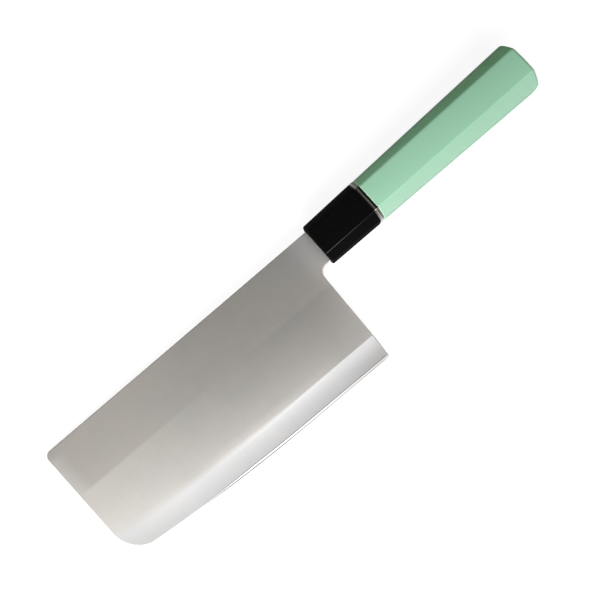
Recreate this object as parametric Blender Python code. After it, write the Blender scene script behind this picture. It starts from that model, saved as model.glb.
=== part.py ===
"""Kitchen cleaver: a wide steel blade whose hidden tang is glued into an octagonal handle.

The knife lies on its side. +X runs along the handle's axis from the ferrule's face to the butt,
-Y is the side of the cutting edge, and Z = 0 is the middle of the blade's thickness. An empty
carries all the pieces and sets the knife down on the origin. All sizes are in metres.
"""
import bpy
import bmesh
from math import acos, ceil, cos, pi, radians, sin, sqrt, tan
from mathutils import Matrix, Vector

# Clearance between two pieces that touch
FIT = 0.0003

# Blade outline, seen from the side
BLADE_PITCH = radians(1.2)
SPINE_ABOVE_AXIS = 0.0096
SPINE_LENGTH = 0.1772
BLADE_HEIGHT = 0.0749
FRONT_LEAN = radians(3.8)
SPINE_CORNER_RADIUS = 0.0035
TOE_RADIUS = 0.018
BELLY_START = 0.060
BELLY_RADIUS = 1.020
HEEL_SETBACK = 0.0083
HEEL_LEAN = radians(1.2)
NECK_BELOW_AXIS = 0.0099
CHOIL_RADIUS = 0.0050

# Blade thickness and grind
SPINE_THICKNESS = 0.0030
FRONT_THINNING = 0.0011
EDGE_THINNING = 0.0010
BEVEL_WIDTH = 0.0134
FINE_BEVEL_WIDTH = 0.0010
FINE_BEVEL_THICKNESS = 0.00040
EDGE_THICKNESS = 0.00006
SPINE_EASING = 0.0004

# Tang, hidden in the handle
TANG_LENGTH = 0.092
TANG_HEIGHT = 0.0090
TANG_END_HEIGHT = 0.0055
TANG_END_RADIUS = 0.0015
TANG_THINNING = 0.0009

# Octagonal handle: a rectangle with its corners cut off, growing from the front to the butt
HANDLE_LENGTH = 0.1334
FRONT_HEIGHT = 0.0233
FRONT_THICKNESS = 0.0200
FRONT_CORNER_CUT = 0.0047
BUTT_HEIGHT = 0.0280
BUTT_THICKNESS = 0.0240
BUTT_CORNER_CUT = 0.0065
RIDGE_RADIUS = 0.0009

# Lengths and softened rims of the three outer pieces of the handle
FERRULE_LENGTH = 0.0313
FERRULE_RIM = 0.0008
SPACER_THICKNESS = 0.0020
JOINT_RIM = 0.0002
BUTT_RIM = 0.0014

# Dowel that strings the handle together, and the adhesive round the tang
DOWEL_DIAMETER = 0.0127
DOWEL_START = 0.0060
DOWEL_LENGTH = 0.0560
DOWEL_CHAMFER = 0.0006
ADHESIVE_WALL = 0.0006

# Fineness of the curves
EASING_STEPS = 4
RIM_STEPS = 4
OUTLINE_STEP = radians(6)
RIDGE_STEP = radians(15)
ROUND_SIDES = 48
BELLY_STEP = 0.005

# How far a cut runs past what it cuts, and how near the outline passes the wedge's spine and edge
OVERRUN = 0.004
HAIR = 0.00002


def clear_scene():
    for obj in list(bpy.data.objects):
        bpy.data.objects.remove(obj, do_unlink=True)


def finish(name, colour, roughness, metallic=0.0):
    """A plain material with the piece's colour and shine."""
    material = bpy.data.materials.new(name)
    material.use_nodes = True
    shader = material.node_tree.nodes["Principled BSDF"]
    shader.inputs["Base Color"].default_value = (*colour, 1.0)
    shader.inputs["Roughness"].default_value = roughness
    shader.inputs["Metallic"].default_value = metallic
    return material


def add_object(name, bm, parent, material=None):
    """Turn a bmesh into a named object carried by its parent."""
    bmesh.ops.recalc_face_normals(bm, faces=bm.faces)
    mesh = bpy.data.meshes.new(name)
    bm.to_mesh(mesh)
    bm.free()
    obj = bpy.data.objects.new(name, mesh)
    bpy.context.collection.objects.link(obj)
    obj.parent = parent
    if material:
        mesh.materials.append(material)
        mesh.shade_smooth()
        mesh.set_sharp_from_angle(angle=radians(20))
    return obj


def cut(target, name, bm, operation="DIFFERENCE"):
    """Cut a piece with a hidden tool, which stays there to be edited."""
    tool = add_object(name, bm, target.parent)
    tool.hide_render = True
    tool.display_type = "WIRE"
    modifier = target.modifiers.new(name, "BOOLEAN")
    modifier.operation = operation
    modifier.solver = "EXACT"
    modifier.object = tool


def skin(loops):
    """Join equal loops of points into one closed skin with flat ends."""
    bm = bmesh.new()
    rings = [[bm.verts.new(point) for point in loop] for loop in loops]
    for near, far in zip(rings, rings[1:]):
        for i, corner in enumerate(near):
            bm.faces.new((near[i - 1], corner, far[i], far[i - 1]))
    bm.faces.new(rings[0])
    bm.faces.new(rings[-1])
    return bm


def rounded(corners, step):
    """Outline through (point, radius) corners, each rounded by an arc that meets both its sides."""
    outline = []
    for i, (corner, radius) in enumerate(corners):
        if radius == 0.0:
            outline.append(corner)
            continue
        before = (corners[i - 1][0] - corner).normalized()
        after = (corners[(i + 1) % len(corners)][0] - corner).normalized()
        opening = acos(before.dot(after))
        turn = pi - opening
        reach = radius * tan(turn / 2)
        centre = corner + (before + after).normalized() * radius / sin(opening / 2)
        start = corner + before * reach - centre
        end = corner + after * reach - centre
        steps = max(1, round(turn / step))
        for k in range(steps + 1):
            angle = turn * k / steps
            outline.append(centre + (start * sin(turn - angle) + end * sin(angle)) / sin(turn))
    return outline


def rod(start, end, radius):
    """Round bar along the handle's axis."""
    bm = bmesh.new()
    place = Matrix.Translation(((start + end) / 2, 0, 0)) @ Matrix.Rotation(pi / 2, 4, "Y")
    bmesh.ops.create_cone(bm, cap_ends=True, segments=ROUND_SIDES, radius1=radius, radius2=radius,
                          depth=end - start, matrix=place)
    return bm


def bar(start, end, height, thickness):
    """Square-cornered bar along the handle's axis."""
    bm = bmesh.new()
    place = Matrix.Translation(((start + end) / 2, 0, 0))
    size = Matrix.Diagonal((end - start, height, thickness, 1))
    bmesh.ops.create_cube(bm, size=1, matrix=place @ size)
    return bm


def on_blade(along, down):
    """Point at a distance along the spine from the ferrule, and down from the spine."""
    x = -along * cos(BLADE_PITCH) - down * sin(BLADE_PITCH)
    y = SPINE_ABOVE_AXIS + along * sin(BLADE_PITCH) - down * cos(BLADE_PITCH)
    return Vector((x, y))


def front_at(down):
    """Distance from the ferrule to the blade's front, which leans back towards the edge."""
    return SPINE_LENGTH - down * tan(FRONT_LEAN)


def heel_at(down):
    """Distance from the ferrule to the blade's heel, which leans forward towards the edge."""
    return HEEL_SETBACK + (down - BLADE_HEIGHT) * tan(HEEL_LEAN)


def edge_depth(along):
    """Depth of the cutting edge below the spine: straight, then rising in one long arc."""
    past = max(0.0, along - BELLY_START)
    return BLADE_HEIGHT - BELLY_RADIUS + sqrt(BELLY_RADIUS ** 2 - past ** 2)


def toe_line():
    """Line that the toe's arc runs into: a point and a slope, a hair below the edge's long arc."""
    touch = front_at(BLADE_HEIGHT) - TOE_RADIUS
    slope = (edge_depth(touch + BELLY_STEP) - edge_depth(touch)) / BELLY_STEP
    return touch, edge_depth(touch) + HAIR, slope


def blade_outline():
    """Side view of blade, neck and tang. Between toe and heel it passes below the cutting edge."""
    touch, touch_down, slope = toe_line()
    lean = tan(FRONT_LEAN)
    toe = (front_at(touch_down) + slope * touch * lean) / (1 + slope * lean)
    toe_down = touch_down + slope * (toe - touch)
    below = BLADE_HEIGHT + OVERRUN
    below_belly = touch_down + slope * (BELLY_START - touch)
    choil_down = SPINE_ABOVE_AXIS + NECK_BELOW_AXIS
    choil = on_blade(heel_at(choil_down), choil_down)
    spine = on_blade(FIT, -HAIR)
    corners = [
        (Vector((-FIT, spine.y)), 0.0),
        (on_blade(front_at(-HAIR), -HAIR), SPINE_CORNER_RADIUS),
        (on_blade(toe, toe_down), TOE_RADIUS),
        (on_blade(BELLY_START, below_belly), 0.0),
        (on_blade(heel_at(below), below), 0.0),
        (Vector((choil.x, -NECK_BELOW_AXIS)), CHOIL_RADIUS),
        (Vector((-FIT, -NECK_BELOW_AXIS)), 0.0),
        (Vector((-FIT, -TANG_HEIGHT / 2)), 0.0),
        (Vector((TANG_LENGTH, -TANG_END_HEIGHT / 2)), TANG_END_RADIUS),
        (Vector((TANG_LENGTH, TANG_END_HEIGHT / 2)), TANG_END_RADIUS),
        (Vector((-FIT, TANG_HEIGHT / 2)), 0.0),
    ]
    return rounded(corners, OUTLINE_STEP)


def half_thickness(along, down):
    """Half the thickness at the blade's side faces. Each is one flat plane from neck to front."""
    thinning_down = EDGE_THINNING / (BLADE_HEIGHT - BEVEL_WIDTH)
    if along > 0:
        thinning_along = along * FRONT_THINNING / SPINE_LENGTH
    else:
        thinning_along = -along * TANG_THINNING / TANG_LENGTH
    return (SPINE_THICKNESS - thinning_along - down * thinning_down) / 2


def wedge_section(along):
    """Cross-section of the ground blade: eased spine, flat sides, bevels, fine bevels, edge."""
    depth = edge_depth(along)
    bevel = depth - BEVEL_WIDTH
    side = []
    for k in range(EASING_STEPS + 1):
        angle = k * pi / 2 / EASING_STEPS
        down = SPINE_EASING * (1 - cos(angle))
        side.append((down, half_thickness(along, down) - SPINE_EASING * (1 - sin(angle))))
    side.append((bevel, half_thickness(along, bevel)))
    side.append((depth - FINE_BEVEL_WIDTH, FINE_BEVEL_THICKNESS / 2))
    side.append((depth, EDGE_THICKNESS / 2))
    section = side + [(down, -half) for down, half in reversed(side)]
    return [(*on_blade(along, down), half) for down, half in section]


def blade(root):
    """Forged blade: a tapering ground wedge, trimmed to the knife's side view with its tang."""
    belly_steps = ceil((SPINE_LENGTH + OVERRUN - BELLY_START) / BELLY_STEP)
    stations = [-TANG_LENGTH - OVERRUN, 0.0, BELLY_START]
    stations += [BELLY_START + (k + 1) * BELLY_STEP for k in range(belly_steps)]
    steel = finish("satin_steel", (0.56, 0.55, 0.53), 0.32, metallic=1.0)
    wedge = add_object("blade", skin([wedge_section(s) for s in stations]), root, steel)
    outline = blade_outline()
    sides = [[(*point, z) for point in outline] for z in (-SPINE_THICKNESS, SPINE_THICKNESS)]
    cut(wedge, "blade_outline", skin(sides), "INTERSECT")


def octagon(x, inset):
    """Section of the handle at a place on its axis, drawn in by inset, with softened ridges."""
    share = x / HANDLE_LENGTH
    height = FRONT_HEIGHT + (BUTT_HEIGHT - FRONT_HEIGHT) * share
    thickness = FRONT_THICKNESS + (BUTT_THICKNESS - FRONT_THICKNESS) * share
    corner_cut = FRONT_CORNER_CUT + (BUTT_CORNER_CUT - FRONT_CORNER_CUT) * share
    top = height / 2 - inset
    side = thickness / 2 - inset
    corner_cut -= inset * (2 - sqrt(2))
    quarter = [(top, side - corner_cut), (top - corner_cut, side)]
    half = quarter + [(-y, z) for y, z in reversed(quarter)]
    corners = half + [(y, -z) for y, z in reversed(half)]
    outline = rounded([(Vector(corner), RIDGE_RADIUS) for corner in corners], RIDGE_STEP)
    return [(x, *point) for point in outline]


def handle_length(start, end, front_rim, back_rim):
    """Length of the tapered octagonal handle, with a quarter-round rim at each end."""
    loops = []
    for face, rim, inward in ((start, front_rim, 1), (end, back_rim, -1)):
        quarter = []
        for k in range(RIM_STEPS + 1):
            angle = k * pi / 2 / RIM_STEPS
            quarter.append(octagon(face + inward * rim * (1 - cos(angle)), rim * (1 - sin(angle))))
        loops += quarter[::inward]
    return skin(loops)


def dowel_bore(start, end):
    return rod(start, end, DOWEL_DIAMETER / 2 + FIT)


def tang_slot(start, end, clearance):
    return bar(start, end, TANG_HEIGHT + 2 * clearance, SPINE_THICKNESS + 2 * clearance)


def ferrule(root):
    """Black ferrule: a slotted mouth for the tang, and a blind bore for the dowel behind it."""
    black = finish("black_gloss", (0.006, 0.006, 0.006), 0.22)
    body = handle_length(0.0, FERRULE_LENGTH, FERRULE_RIM, JOINT_RIM)
    collar = add_object("ferrule", body, root, black)
    cut(collar, "ferrule_bore", dowel_bore(DOWEL_START - FIT, FERRULE_LENGTH + OVERRUN))
    cut(collar, "ferrule_mouth", tang_slot(-OVERRUN, DOWEL_START, 2 * FIT + ADHESIVE_WALL))


def spacer_ring(root):
    """Bright metal plate between ferrule and handle, bored for the dowel."""
    start = FERRULE_LENGTH + FIT
    end = start + SPACER_THICKNESS
    metal = finish("polished_nickel_silver", (0.72, 0.71, 0.68), 0.1, metallic=1.0)
    ring = add_object("spacer_ring", handle_length(start, end, JOINT_RIM, JOINT_RIM), root, metal)
    cut(ring, "spacer_bore", dowel_bore(start - OVERRUN, end + OVERRUN))


def handle_body(root):
    """Green handle body: a blind bore for the dowel, and a deeper slot for the tang's end."""
    start = FERRULE_LENGTH + SPACER_THICKNESS + 2 * FIT
    green = finish("mint_lacquer", (0.31, 0.585, 0.413), 0.3)
    body = handle_length(start, HANDLE_LENGTH, JOINT_RIM, BUTT_RIM)
    grip = add_object("handle_body", body, root, green)
    cut(grip, "body_bore", dowel_bore(start - OVERRUN, DOWEL_START + DOWEL_LENGTH + FIT))
    cut(grip, "body_slot", tang_slot(start - OVERRUN, TANG_LENGTH + FIT, FIT))


def dowel(root):
    """Hardwood dowel through ferrule, spacer and body, slotted right through for the tang."""
    end = DOWEL_START + DOWEL_LENGTH
    wood = finish("dowel_wood", (0.48, 0.33, 0.19), 0.6)
    bm = rod(DOWEL_START, end, DOWEL_DIAMETER / 2)
    rims = [edge for edge in bm.edges if edge.verts[0].co.x == edge.verts[1].co.x]
    bmesh.ops.bevel(bm, geom=rims, offset=DOWEL_CHAMFER, segments=1, affect="EDGES")
    pin = add_object("dowel", bm, root, wood)
    cut(pin, "dowel_slot", tang_slot(DOWEL_START - OVERRUN, end + OVERRUN, FIT))


def tang_adhesive(root):
    """Plug of hard adhesive that fills the ferrule's mouth round the tang."""
    resin = finish("dark_resin", (0.03, 0.027, 0.024), 0.45)
    plug = add_object("tang_adhesive", tang_slot(0.0, DOWEL_START - FIT, FIT + ADHESIVE_WALL), root, resin)
    cut(plug, "adhesive_hole", tang_slot(-OVERRUN, DOWEL_START + OVERRUN, FIT))


def set_down(root):
    """Centre the knife's box on the origin, with its lowest point on the ground."""
    bpy.context.view_layer.update()
    depsgraph = bpy.context.evaluated_depsgraph_get()
    corners = []
    for obj in root.children:
        if not obj.hide_render:
            box = obj.evaluated_get(depsgraph).bound_box
            corners += [Vector(corner) for corner in box]
    low = [min(corner[axis] for corner in corners) for axis in range(3)]
    high = [max(corner[axis] for corner in corners) for axis in range(3)]
    root.location = (-(low[0] + high[0]) / 2, -(low[1] + high[1]) / 2, -low[2])


def main():
    clear_scene()
    root = bpy.data.objects.new("knife", None)
    bpy.context.collection.objects.link(root)
    blade(root)
    ferrule(root)
    spacer_ring(root)
    handle_body(root)
    dowel(root)
    tang_adhesive(root)
    set_down(root)


main()
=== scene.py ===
"""Kitchen cleaver: the finish of every visible surface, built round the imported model.

The knife lies on its side on a pale table, seen from above. All sizes are in metres. The handle's
axis runs along +X, the cutting edge is on the -Y side and +Z is up.
"""
import bpy
import bmesh
from math import acos, ceil, cos, pi, radians, sin, sqrt, tan
from mathutils import Euler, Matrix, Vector
from mathutils.geometry import delaunay_2d_cdt


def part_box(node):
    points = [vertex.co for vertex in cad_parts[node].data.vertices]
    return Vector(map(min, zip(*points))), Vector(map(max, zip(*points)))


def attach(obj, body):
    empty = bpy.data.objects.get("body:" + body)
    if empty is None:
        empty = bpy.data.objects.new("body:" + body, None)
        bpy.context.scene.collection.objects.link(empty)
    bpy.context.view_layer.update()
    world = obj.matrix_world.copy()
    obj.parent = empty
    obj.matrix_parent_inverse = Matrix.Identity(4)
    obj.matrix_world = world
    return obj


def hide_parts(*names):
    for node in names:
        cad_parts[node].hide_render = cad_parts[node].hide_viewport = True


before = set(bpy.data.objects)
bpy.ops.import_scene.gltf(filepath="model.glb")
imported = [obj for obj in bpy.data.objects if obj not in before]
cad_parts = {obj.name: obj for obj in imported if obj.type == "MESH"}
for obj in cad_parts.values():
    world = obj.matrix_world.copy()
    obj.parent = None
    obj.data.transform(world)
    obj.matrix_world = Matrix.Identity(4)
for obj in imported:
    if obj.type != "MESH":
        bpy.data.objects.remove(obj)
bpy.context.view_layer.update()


# Camera: it looks down on the knife from about 30 cm, rolled so that the handle points up right.
# Its place comes from matching the handle's ridges and the blade's outline with the photograph.

CAMERA_PLACE = (0.00560, -0.01551, 0.30198)
CAMERA_TURN = (radians(2.811), radians(4.745), radians(-41.361))
SENSOR = 0.036
LENS = 0.034577

camera_data = bpy.data.cameras.new("camera")
camera_data.sensor_width = SENSOR * 1000
camera_data.lens = LENS * 1000
camera_data.clip_start = 0.01
camera_data.clip_end = 100
camera = bpy.data.objects.new("camera", camera_data)
camera.location = CAMERA_PLACE
camera.rotation_euler = Euler(CAMERA_TURN)
bpy.context.scene.collection.objects.link(camera)
bpy.context.scene.camera = camera


# Table and studio: the knife rests on the front rim of its ferrule and the front of its blade, so
# the table's plane passes through these two. A large soft panel lights it from the edge's side, a card
# above that side shows in the steel in its place, and a weak panel fills in from beyond the front.

TABLE_HALF = 12.0
TABLE_COLOUR = (0.74, 0.74, 0.73)
TABLE_COLOUR_DIM = (0.7289, 0.7289, 0.71905)
TABLE_CLOUD_SCALE = 60.0
TABLE_GLOW = 0.90
TABLE_FILM = (0.20, 0.20, 0.20)
FRONT_HALF_THICKNESS = 0.0009
KEY_PLACE = Vector((-0.276, -0.486, 0.539))
KEY_SIZE = (0.634, 0.45)
KEY_GLOW = 11.2
KEY_COLOUR = (1.0, 0.995, 0.985)
FILL_PLACE = Vector((-0.238, 0.12, 0.223))
FILL_SIZE = (0.36, 0.195)
FILL_GLOW = 0.5
FILL_COLOUR = (1.0, 0.98, 0.93)
CARD_PLACE = Vector((-0.037, -0.285, 0.527))
CARD_SIZE = (1.424, 0.327)
CARD_GLOW = 1.96
CARD_COLOUR = (1.0, 0.965, 0.955)
HORIZON_LEVEL = 0.36
HORIZON_HEIGHT = (0.12, 0.42)
HORIZON_DEPTH = (-0.8, 0.8)
HORIZON_FAR_SHARE = 0.1
OVERHEAD_LEVEL = 0.13
SKY_WARM = (1.0, 0.97, 0.90)
SKY_WHITE = (1.0, 1.0, 1.0)
PLAIN_DETAIL = 2.0


def add_node(tree, kind, **settings):
    """New shader node with its settings."""
    made = tree.nodes.new("ShaderNode" + kind)
    for key, value in settings.items():
        setattr(made, key, value)
    return made


def join(tree, value, socket):
    """Link a socket, or write a number or a colour on the socket itself."""
    if isinstance(value, tuple) and socket.type == "RGBA":
        socket.default_value = (*value, 1.0)
    elif isinstance(value, (int, float, tuple)):
        socket.default_value = value
    else:
        tree.links.new(value, socket)


def math_node(tree, operation, first, second=None):
    """Math on one or two sockets or numbers; returns the result's socket."""
    made = add_node(tree, "Math", operation=operation)
    join(tree, first, made.inputs[0])
    if second is not None:
        join(tree, second, made.inputs[1])
    return made.outputs[0]


def ramp_node(tree, value, low, high, out_low=0.0, out_high=1.0, smooth=True):
    """Map a value from low..high to out_low..out_high, clamped; returns the result's socket."""
    made = add_node(tree, "MapRange", interpolation_type="SMOOTHSTEP" if smooth else "LINEAR")
    tree.links.new(value, made.inputs["Value"])
    join(tree, low, made.inputs["From Min"])
    join(tree, high, made.inputs["From Max"])
    made.inputs["To Min"].default_value = out_low
    made.inputs["To Max"].default_value = out_high
    return made.outputs["Result"]


def blend_colours(tree, factor, first, second):
    """Mix of two colours by a factor, each a socket or a value; returns the result's socket."""
    made = add_node(tree, "Mix", data_type="RGBA")
    for value, name in ((factor, "Factor"), (first, "A"), (second, "B")):
        join(tree, value, made.inputs[name])
    return made.outputs["Result"]


def new_group(name, inputs, outputs):
    """Empty node group with named sockets; returns its tree, its input node and its output node."""
    tree = bpy.data.node_groups.new(name, "ShaderNodeTree")
    for way, sockets in (("INPUT", inputs), ("OUTPUT", outputs)):
        for socket, kind in sockets.items():
            tree.interface.new_socket(socket, in_out=way, socket_type="NodeSocket" + kind)
    return tree, tree.nodes.new("NodeGroupInput"), tree.nodes.new("NodeGroupOutput")


def group_node(tree, group, **values):
    """A node group in use, with its inputs linked or set by name."""
    made = add_node(tree, "Group")
    made.node_tree = group
    for name, value in values.items():
        join(tree, value, made.inputs[name])
    return made


def clouds_group():
    """Cloudy tone: soft noise at a given scale."""
    tree, given, put = new_group("clouds", {"Vector": "Vector", "Scale": "Float", "Detail": "Float"},
                                 {"Tone": "Float"})
    noise = add_node(tree, "TexNoise")
    for name in ("Vector", "Scale", "Detail"):
        tree.links.new(given.outputs[name], noise.inputs[name])
    tree.links.new(noise.outputs["Fac"], put.inputs["Tone"])
    return tree


def cloud_tone(tree, place, scale, detail=PLAIN_DETAIL):
    """The cloudy tone in use, at a place."""
    return group_node(tree, clouds, Vector=place, Scale=scale, Detail=detail).outputs["Tone"]


clouds = clouds_group()
ferrule_low, ferrule_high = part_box("ferrule")
blade_low, blade_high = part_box("blade")
rest_near = Vector((ferrule_low.x, ferrule_low.z))
rest_far = Vector((blade_low.x, (blade_low.z + blade_high.z) / 2 - FRONT_HALF_THICKNESS))
table_slope = (rest_near.y - rest_far.y) / (rest_near.x - rest_far.x)

bm = bmesh.new()
corners = [(sx * TABLE_HALF, sy * TABLE_HALF) for sx, sy in ((-1, -1), (1, -1), (1, 1), (-1, 1))]
bm.faces.new([bm.verts.new((x, y, rest_near.y + (x - rest_near.x) * table_slope)) for x, y in corners])
table_mesh = bpy.data.meshes.new("table")
bm.to_mesh(table_mesh)
bm.free()
table = bpy.data.objects.new("table", table_mesh)
bpy.context.scene.collection.objects.link(table)

paint = bpy.data.materials.new("table_white")
paint.use_nodes = True
tree = paint.node_tree
tree.nodes.clear()
speckle = cloud_tone(tree, add_node(tree, "TexCoord").outputs["Object"], TABLE_CLOUD_SCALE)
matt = add_node(tree, "BsdfDiffuse")
join(tree, blend_colours(tree, speckle, TABLE_COLOUR, TABLE_COLOUR_DIM), matt.inputs["Color"])
film = add_node(tree, "BsdfDiffuse")
join(tree, TABLE_FILM, film.inputs["Color"])
glow = add_node(tree, "Emission")
join(tree, TABLE_GLOW, glow.inputs["Strength"])
bright = add_node(tree, "AddShader")
tree.links.new(film.outputs[0], bright.inputs[0])
tree.links.new(glow.outputs[0], bright.inputs[1])
path = add_node(tree, "LightPath")
seen = math_node(tree, "MAXIMUM", path.outputs["Is Camera Ray"], path.outputs["Is Glossy Ray"])
seen = math_node(tree, "MAXIMUM", seen, path.outputs["Is Transmission Ray"])
choice = add_node(tree, "MixShader")
tree.links.new(seen, choice.inputs[0])
tree.links.new(matt.outputs[0], choice.inputs[1])
tree.links.new(bright.outputs[0], choice.inputs[2])
tree.links.new(choice.outputs[0], add_node(tree, "OutputMaterial").inputs["Surface"])
table_mesh.materials.append(paint)


def soft_panel(name, place, size, glow, colour):
    """Rectangular lamp that faces the knife; its glow is the radiance of its surface."""
    data = bpy.data.lights.new(name, "AREA")
    data.shape = "RECTANGLE"
    data.size, data.size_y = size
    data.energy = glow * pi * size[0] * size[1]
    data.color = colour
    made = bpy.data.objects.new(name, data)
    made.location = place
    made.rotation_euler = (-place).to_track_quat("-Z", "Y").to_euler()
    made.visible_camera = False
    bpy.context.scene.collection.objects.link(made)
    return made


key = soft_panel("key_panel", KEY_PLACE, KEY_SIZE, KEY_GLOW, KEY_COLOUR)
key.visible_glossy = False
card = soft_panel("card", CARD_PLACE, CARD_SIZE, CARD_GLOW, CARD_COLOUR)
card.visible_diffuse = False
soft_panel("fill_panel", FILL_PLACE, FILL_SIZE, FILL_GLOW, FILL_COLOUR)

world = bpy.data.worlds.new("studio")
bpy.context.scene.world = world
world.use_nodes = True
tree = world.node_tree
tree.nodes.clear()
around = add_node(tree, "SeparateXYZ")
tree.links.new(add_node(tree, "TexCoord").outputs["Generated"], around.inputs[0])
horizon = ramp_node(tree, around.outputs["Z"], *HORIZON_HEIGHT, HORIZON_LEVEL, 0.0)
nearness = ramp_node(tree, around.outputs["Y"], *HORIZON_DEPTH, 1.0, HORIZON_FAR_SHARE)
level = math_node(tree, "ADD", math_node(tree, "MULTIPLY", horizon, nearness), OVERHEAD_LEVEL)
sky = add_node(tree, "Background")
join(tree, blend_colours(tree, level, SKY_WARM, SKY_WHITE), sky.inputs["Color"])
join(tree, level, sky.inputs["Strength"])
tree.links.new(sky.outputs[0], add_node(tree, "OutputWorld").inputs["Surface"])

bpy.context.scene.view_settings.view_transform = "Standard"


# Blade: one plate of stainless steel, ground to a taper, with a wide hollow-ground bevel and a fine
# polished one at the edge. Its faces are satin, ground across from spine to edge. Its tang is in one
# piece with it and is glued into the handle.

BLADE_PITCH = radians(1.2)
SPINE_ABOVE_AXIS = 0.0096
SPINE_LENGTH = 0.1772
BLADE_HEIGHT = 0.0749
FRONT_LEAN = radians(3.8)
SPINE_CORNER_RADIUS = 0.0035
TOE_RADIUS = 0.018
BELLY_START = 0.060
BELLY_RADIUS = 1.020
HEEL_SETBACK = 0.0083
HEEL_LEAN = radians(1.2)
NECK_BELOW_AXIS = 0.0099
CHOIL_RADIUS = 0.0050
SPINE_THICKNESS = 0.0030
FRONT_THINNING = 0.0011
EDGE_THINNING = 0.0010
BEVEL_WIDTH = 0.0134
BEVEL_HOLLOW_HEEL = 0.036
BEVEL_HOLLOW_TOE = 0.020
FINE_BEVEL_WIDTH = 0.0012
FINE_BEVEL_THICKNESS = 0.00040
FINE_BEVEL_FADE = (0.090, 0.142)
FINE_BEVEL_TOE_SHARE = 0.2
EDGE_THICKNESS = 0.00006
RIM_EASING = 0.00050
RIM_EASING_SHARE = 0.8
TANG_LENGTH = 0.092
TANG_HEIGHT = 0.0090
TANG_END_HEIGHT = 0.0055
TANG_END_RADIUS = 0.0015
TANG_THINNING = 0.0009
NECK_OVERRUN = 0.002
MERGE_WITHIN = 0.00000001
CLEARANCE = 0.00002
BEVEL_LINE_SOFT_HEEL = 0.0002
BEVEL_LINE_SOFT_TOE = 0.0040
BEVEL_LINE_GROWTH = 1.6
FINE_BEVEL_CREASE = 0.00004
NORMAL_REACH = 0.00002
BELLY_STEP = 0.004
OUTLINE_STEP = radians(3)
RIM_STEPS = 3

axis = Vector((ferrule_low.x, (ferrule_low.y + ferrule_high.y) / 2, (ferrule_low.z + ferrule_high.z) / 2))


def rounded(corners, step):
    """Outline through (point, radius) corners, each rounded by an arc that meets both its sides."""
    outline = []
    for i, (corner, radius) in enumerate(corners):
        if radius == 0.0:
            outline.append(corner)
            continue
        before = (corners[i - 1][0] - corner).normalized()
        after = (corners[(i + 1) % len(corners)][0] - corner).normalized()
        opening = acos(before.dot(after))
        turn = pi - opening
        reach = radius * tan(turn / 2)
        centre = corner + (before + after).normalized() * radius / sin(opening / 2)
        start = corner + before * reach - centre
        end = corner + after * reach - centre
        steps = max(1, round(turn / step))
        for k in range(steps + 1):
            angle = turn * k / steps
            outline.append(centre + (start * sin(turn - angle) + end * sin(angle)) / sin(turn))
    return outline


def on_blade(along, down):
    """Point at a distance along the spine from the ferrule, and down from the spine."""
    x = -along * cos(BLADE_PITCH) - down * sin(BLADE_PITCH)
    y = SPINE_ABOVE_AXIS + along * sin(BLADE_PITCH) - down * cos(BLADE_PITCH)
    return Vector((x, y))


def off_blade(point):
    """Distance along the spine and down from it, of a point in the handle's frame."""
    drop = SPINE_ABOVE_AXIS - point.y
    along = -point.x * cos(BLADE_PITCH) - drop * sin(BLADE_PITCH)
    down = -point.x * sin(BLADE_PITCH) + drop * cos(BLADE_PITCH)
    return along, down


def front_at(down):
    """Distance along the spine to the blade's front, at a depth."""
    return SPINE_LENGTH - down * tan(FRONT_LEAN)


def heel_at(down):
    """Distance along the spine to the blade's heel, at a depth."""
    return HEEL_SETBACK + (down - BLADE_HEIGHT) * tan(HEEL_LEAN)


def edge_depth(along):
    """Depth of the cutting edge below the spine: straight, then rising in one long arc."""
    past = max(0.0, along - BELLY_START)
    return BLADE_HEIGHT - BELLY_RADIUS + sqrt(BELLY_RADIUS ** 2 - past ** 2)


def blade_outline():
    """Side view of blade, neck and tang, with the belly's arc as short straight steps."""
    touch = front_at(BLADE_HEIGHT) - TOE_RADIUS
    depth = edge_depth(touch)
    slope = (edge_depth(touch + BELLY_STEP) - depth) / BELLY_STEP
    lean = tan(FRONT_LEAN)
    toe = (front_at(depth) + slope * touch * lean) / (1 + slope * lean)
    toe_down = depth + slope * (toe - touch)
    choil_down = SPINE_ABOVE_AXIS + NECK_BELOW_AXIS
    choil = on_blade(heel_at(choil_down), choil_down)
    corners = [
        (Vector((-CLEARANCE, on_blade(0, 0).y)), 0.0),
        (on_blade(front_at(0), 0), SPINE_CORNER_RADIUS),
        (on_blade(toe, toe_down), TOE_RADIUS),
    ]
    steps = ceil((touch - BELLY_START) / BELLY_STEP)
    for k in range(steps + 1):
        along = touch + (BELLY_START - touch) * k / steps
        corners.append((on_blade(along, edge_depth(along)), 0.0))
    corners += [
        (on_blade(heel_at(BLADE_HEIGHT), BLADE_HEIGHT), 0.0),
        (Vector((choil.x, -NECK_BELOW_AXIS)), CHOIL_RADIUS),
        (Vector((-CLEARANCE, -NECK_BELOW_AXIS)), 0.0),
        (Vector((-CLEARANCE, -TANG_HEIGHT / 2)), 0.0),
        (Vector((TANG_LENGTH, -TANG_END_HEIGHT / 2)), TANG_END_RADIUS),
        (Vector((TANG_LENGTH, TANG_END_HEIGHT / 2)), TANG_END_RADIUS),
        (Vector((-CLEARANCE, TANG_HEIGHT / 2)), 0.0),
    ]
    return rounded(corners, OUTLINE_STEP)


def line_softness(along):
    """Half the width over which the face turns into the bevel: crisp at the heel, soft at the toe."""
    share = min(1.0, max(0.0, along / SPINE_LENGTH))
    return BEVEL_LINE_SOFT_HEEL + (BEVEL_LINE_SOFT_TOE - BEVEL_LINE_SOFT_HEEL) * share ** BEVEL_LINE_GROWTH


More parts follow.
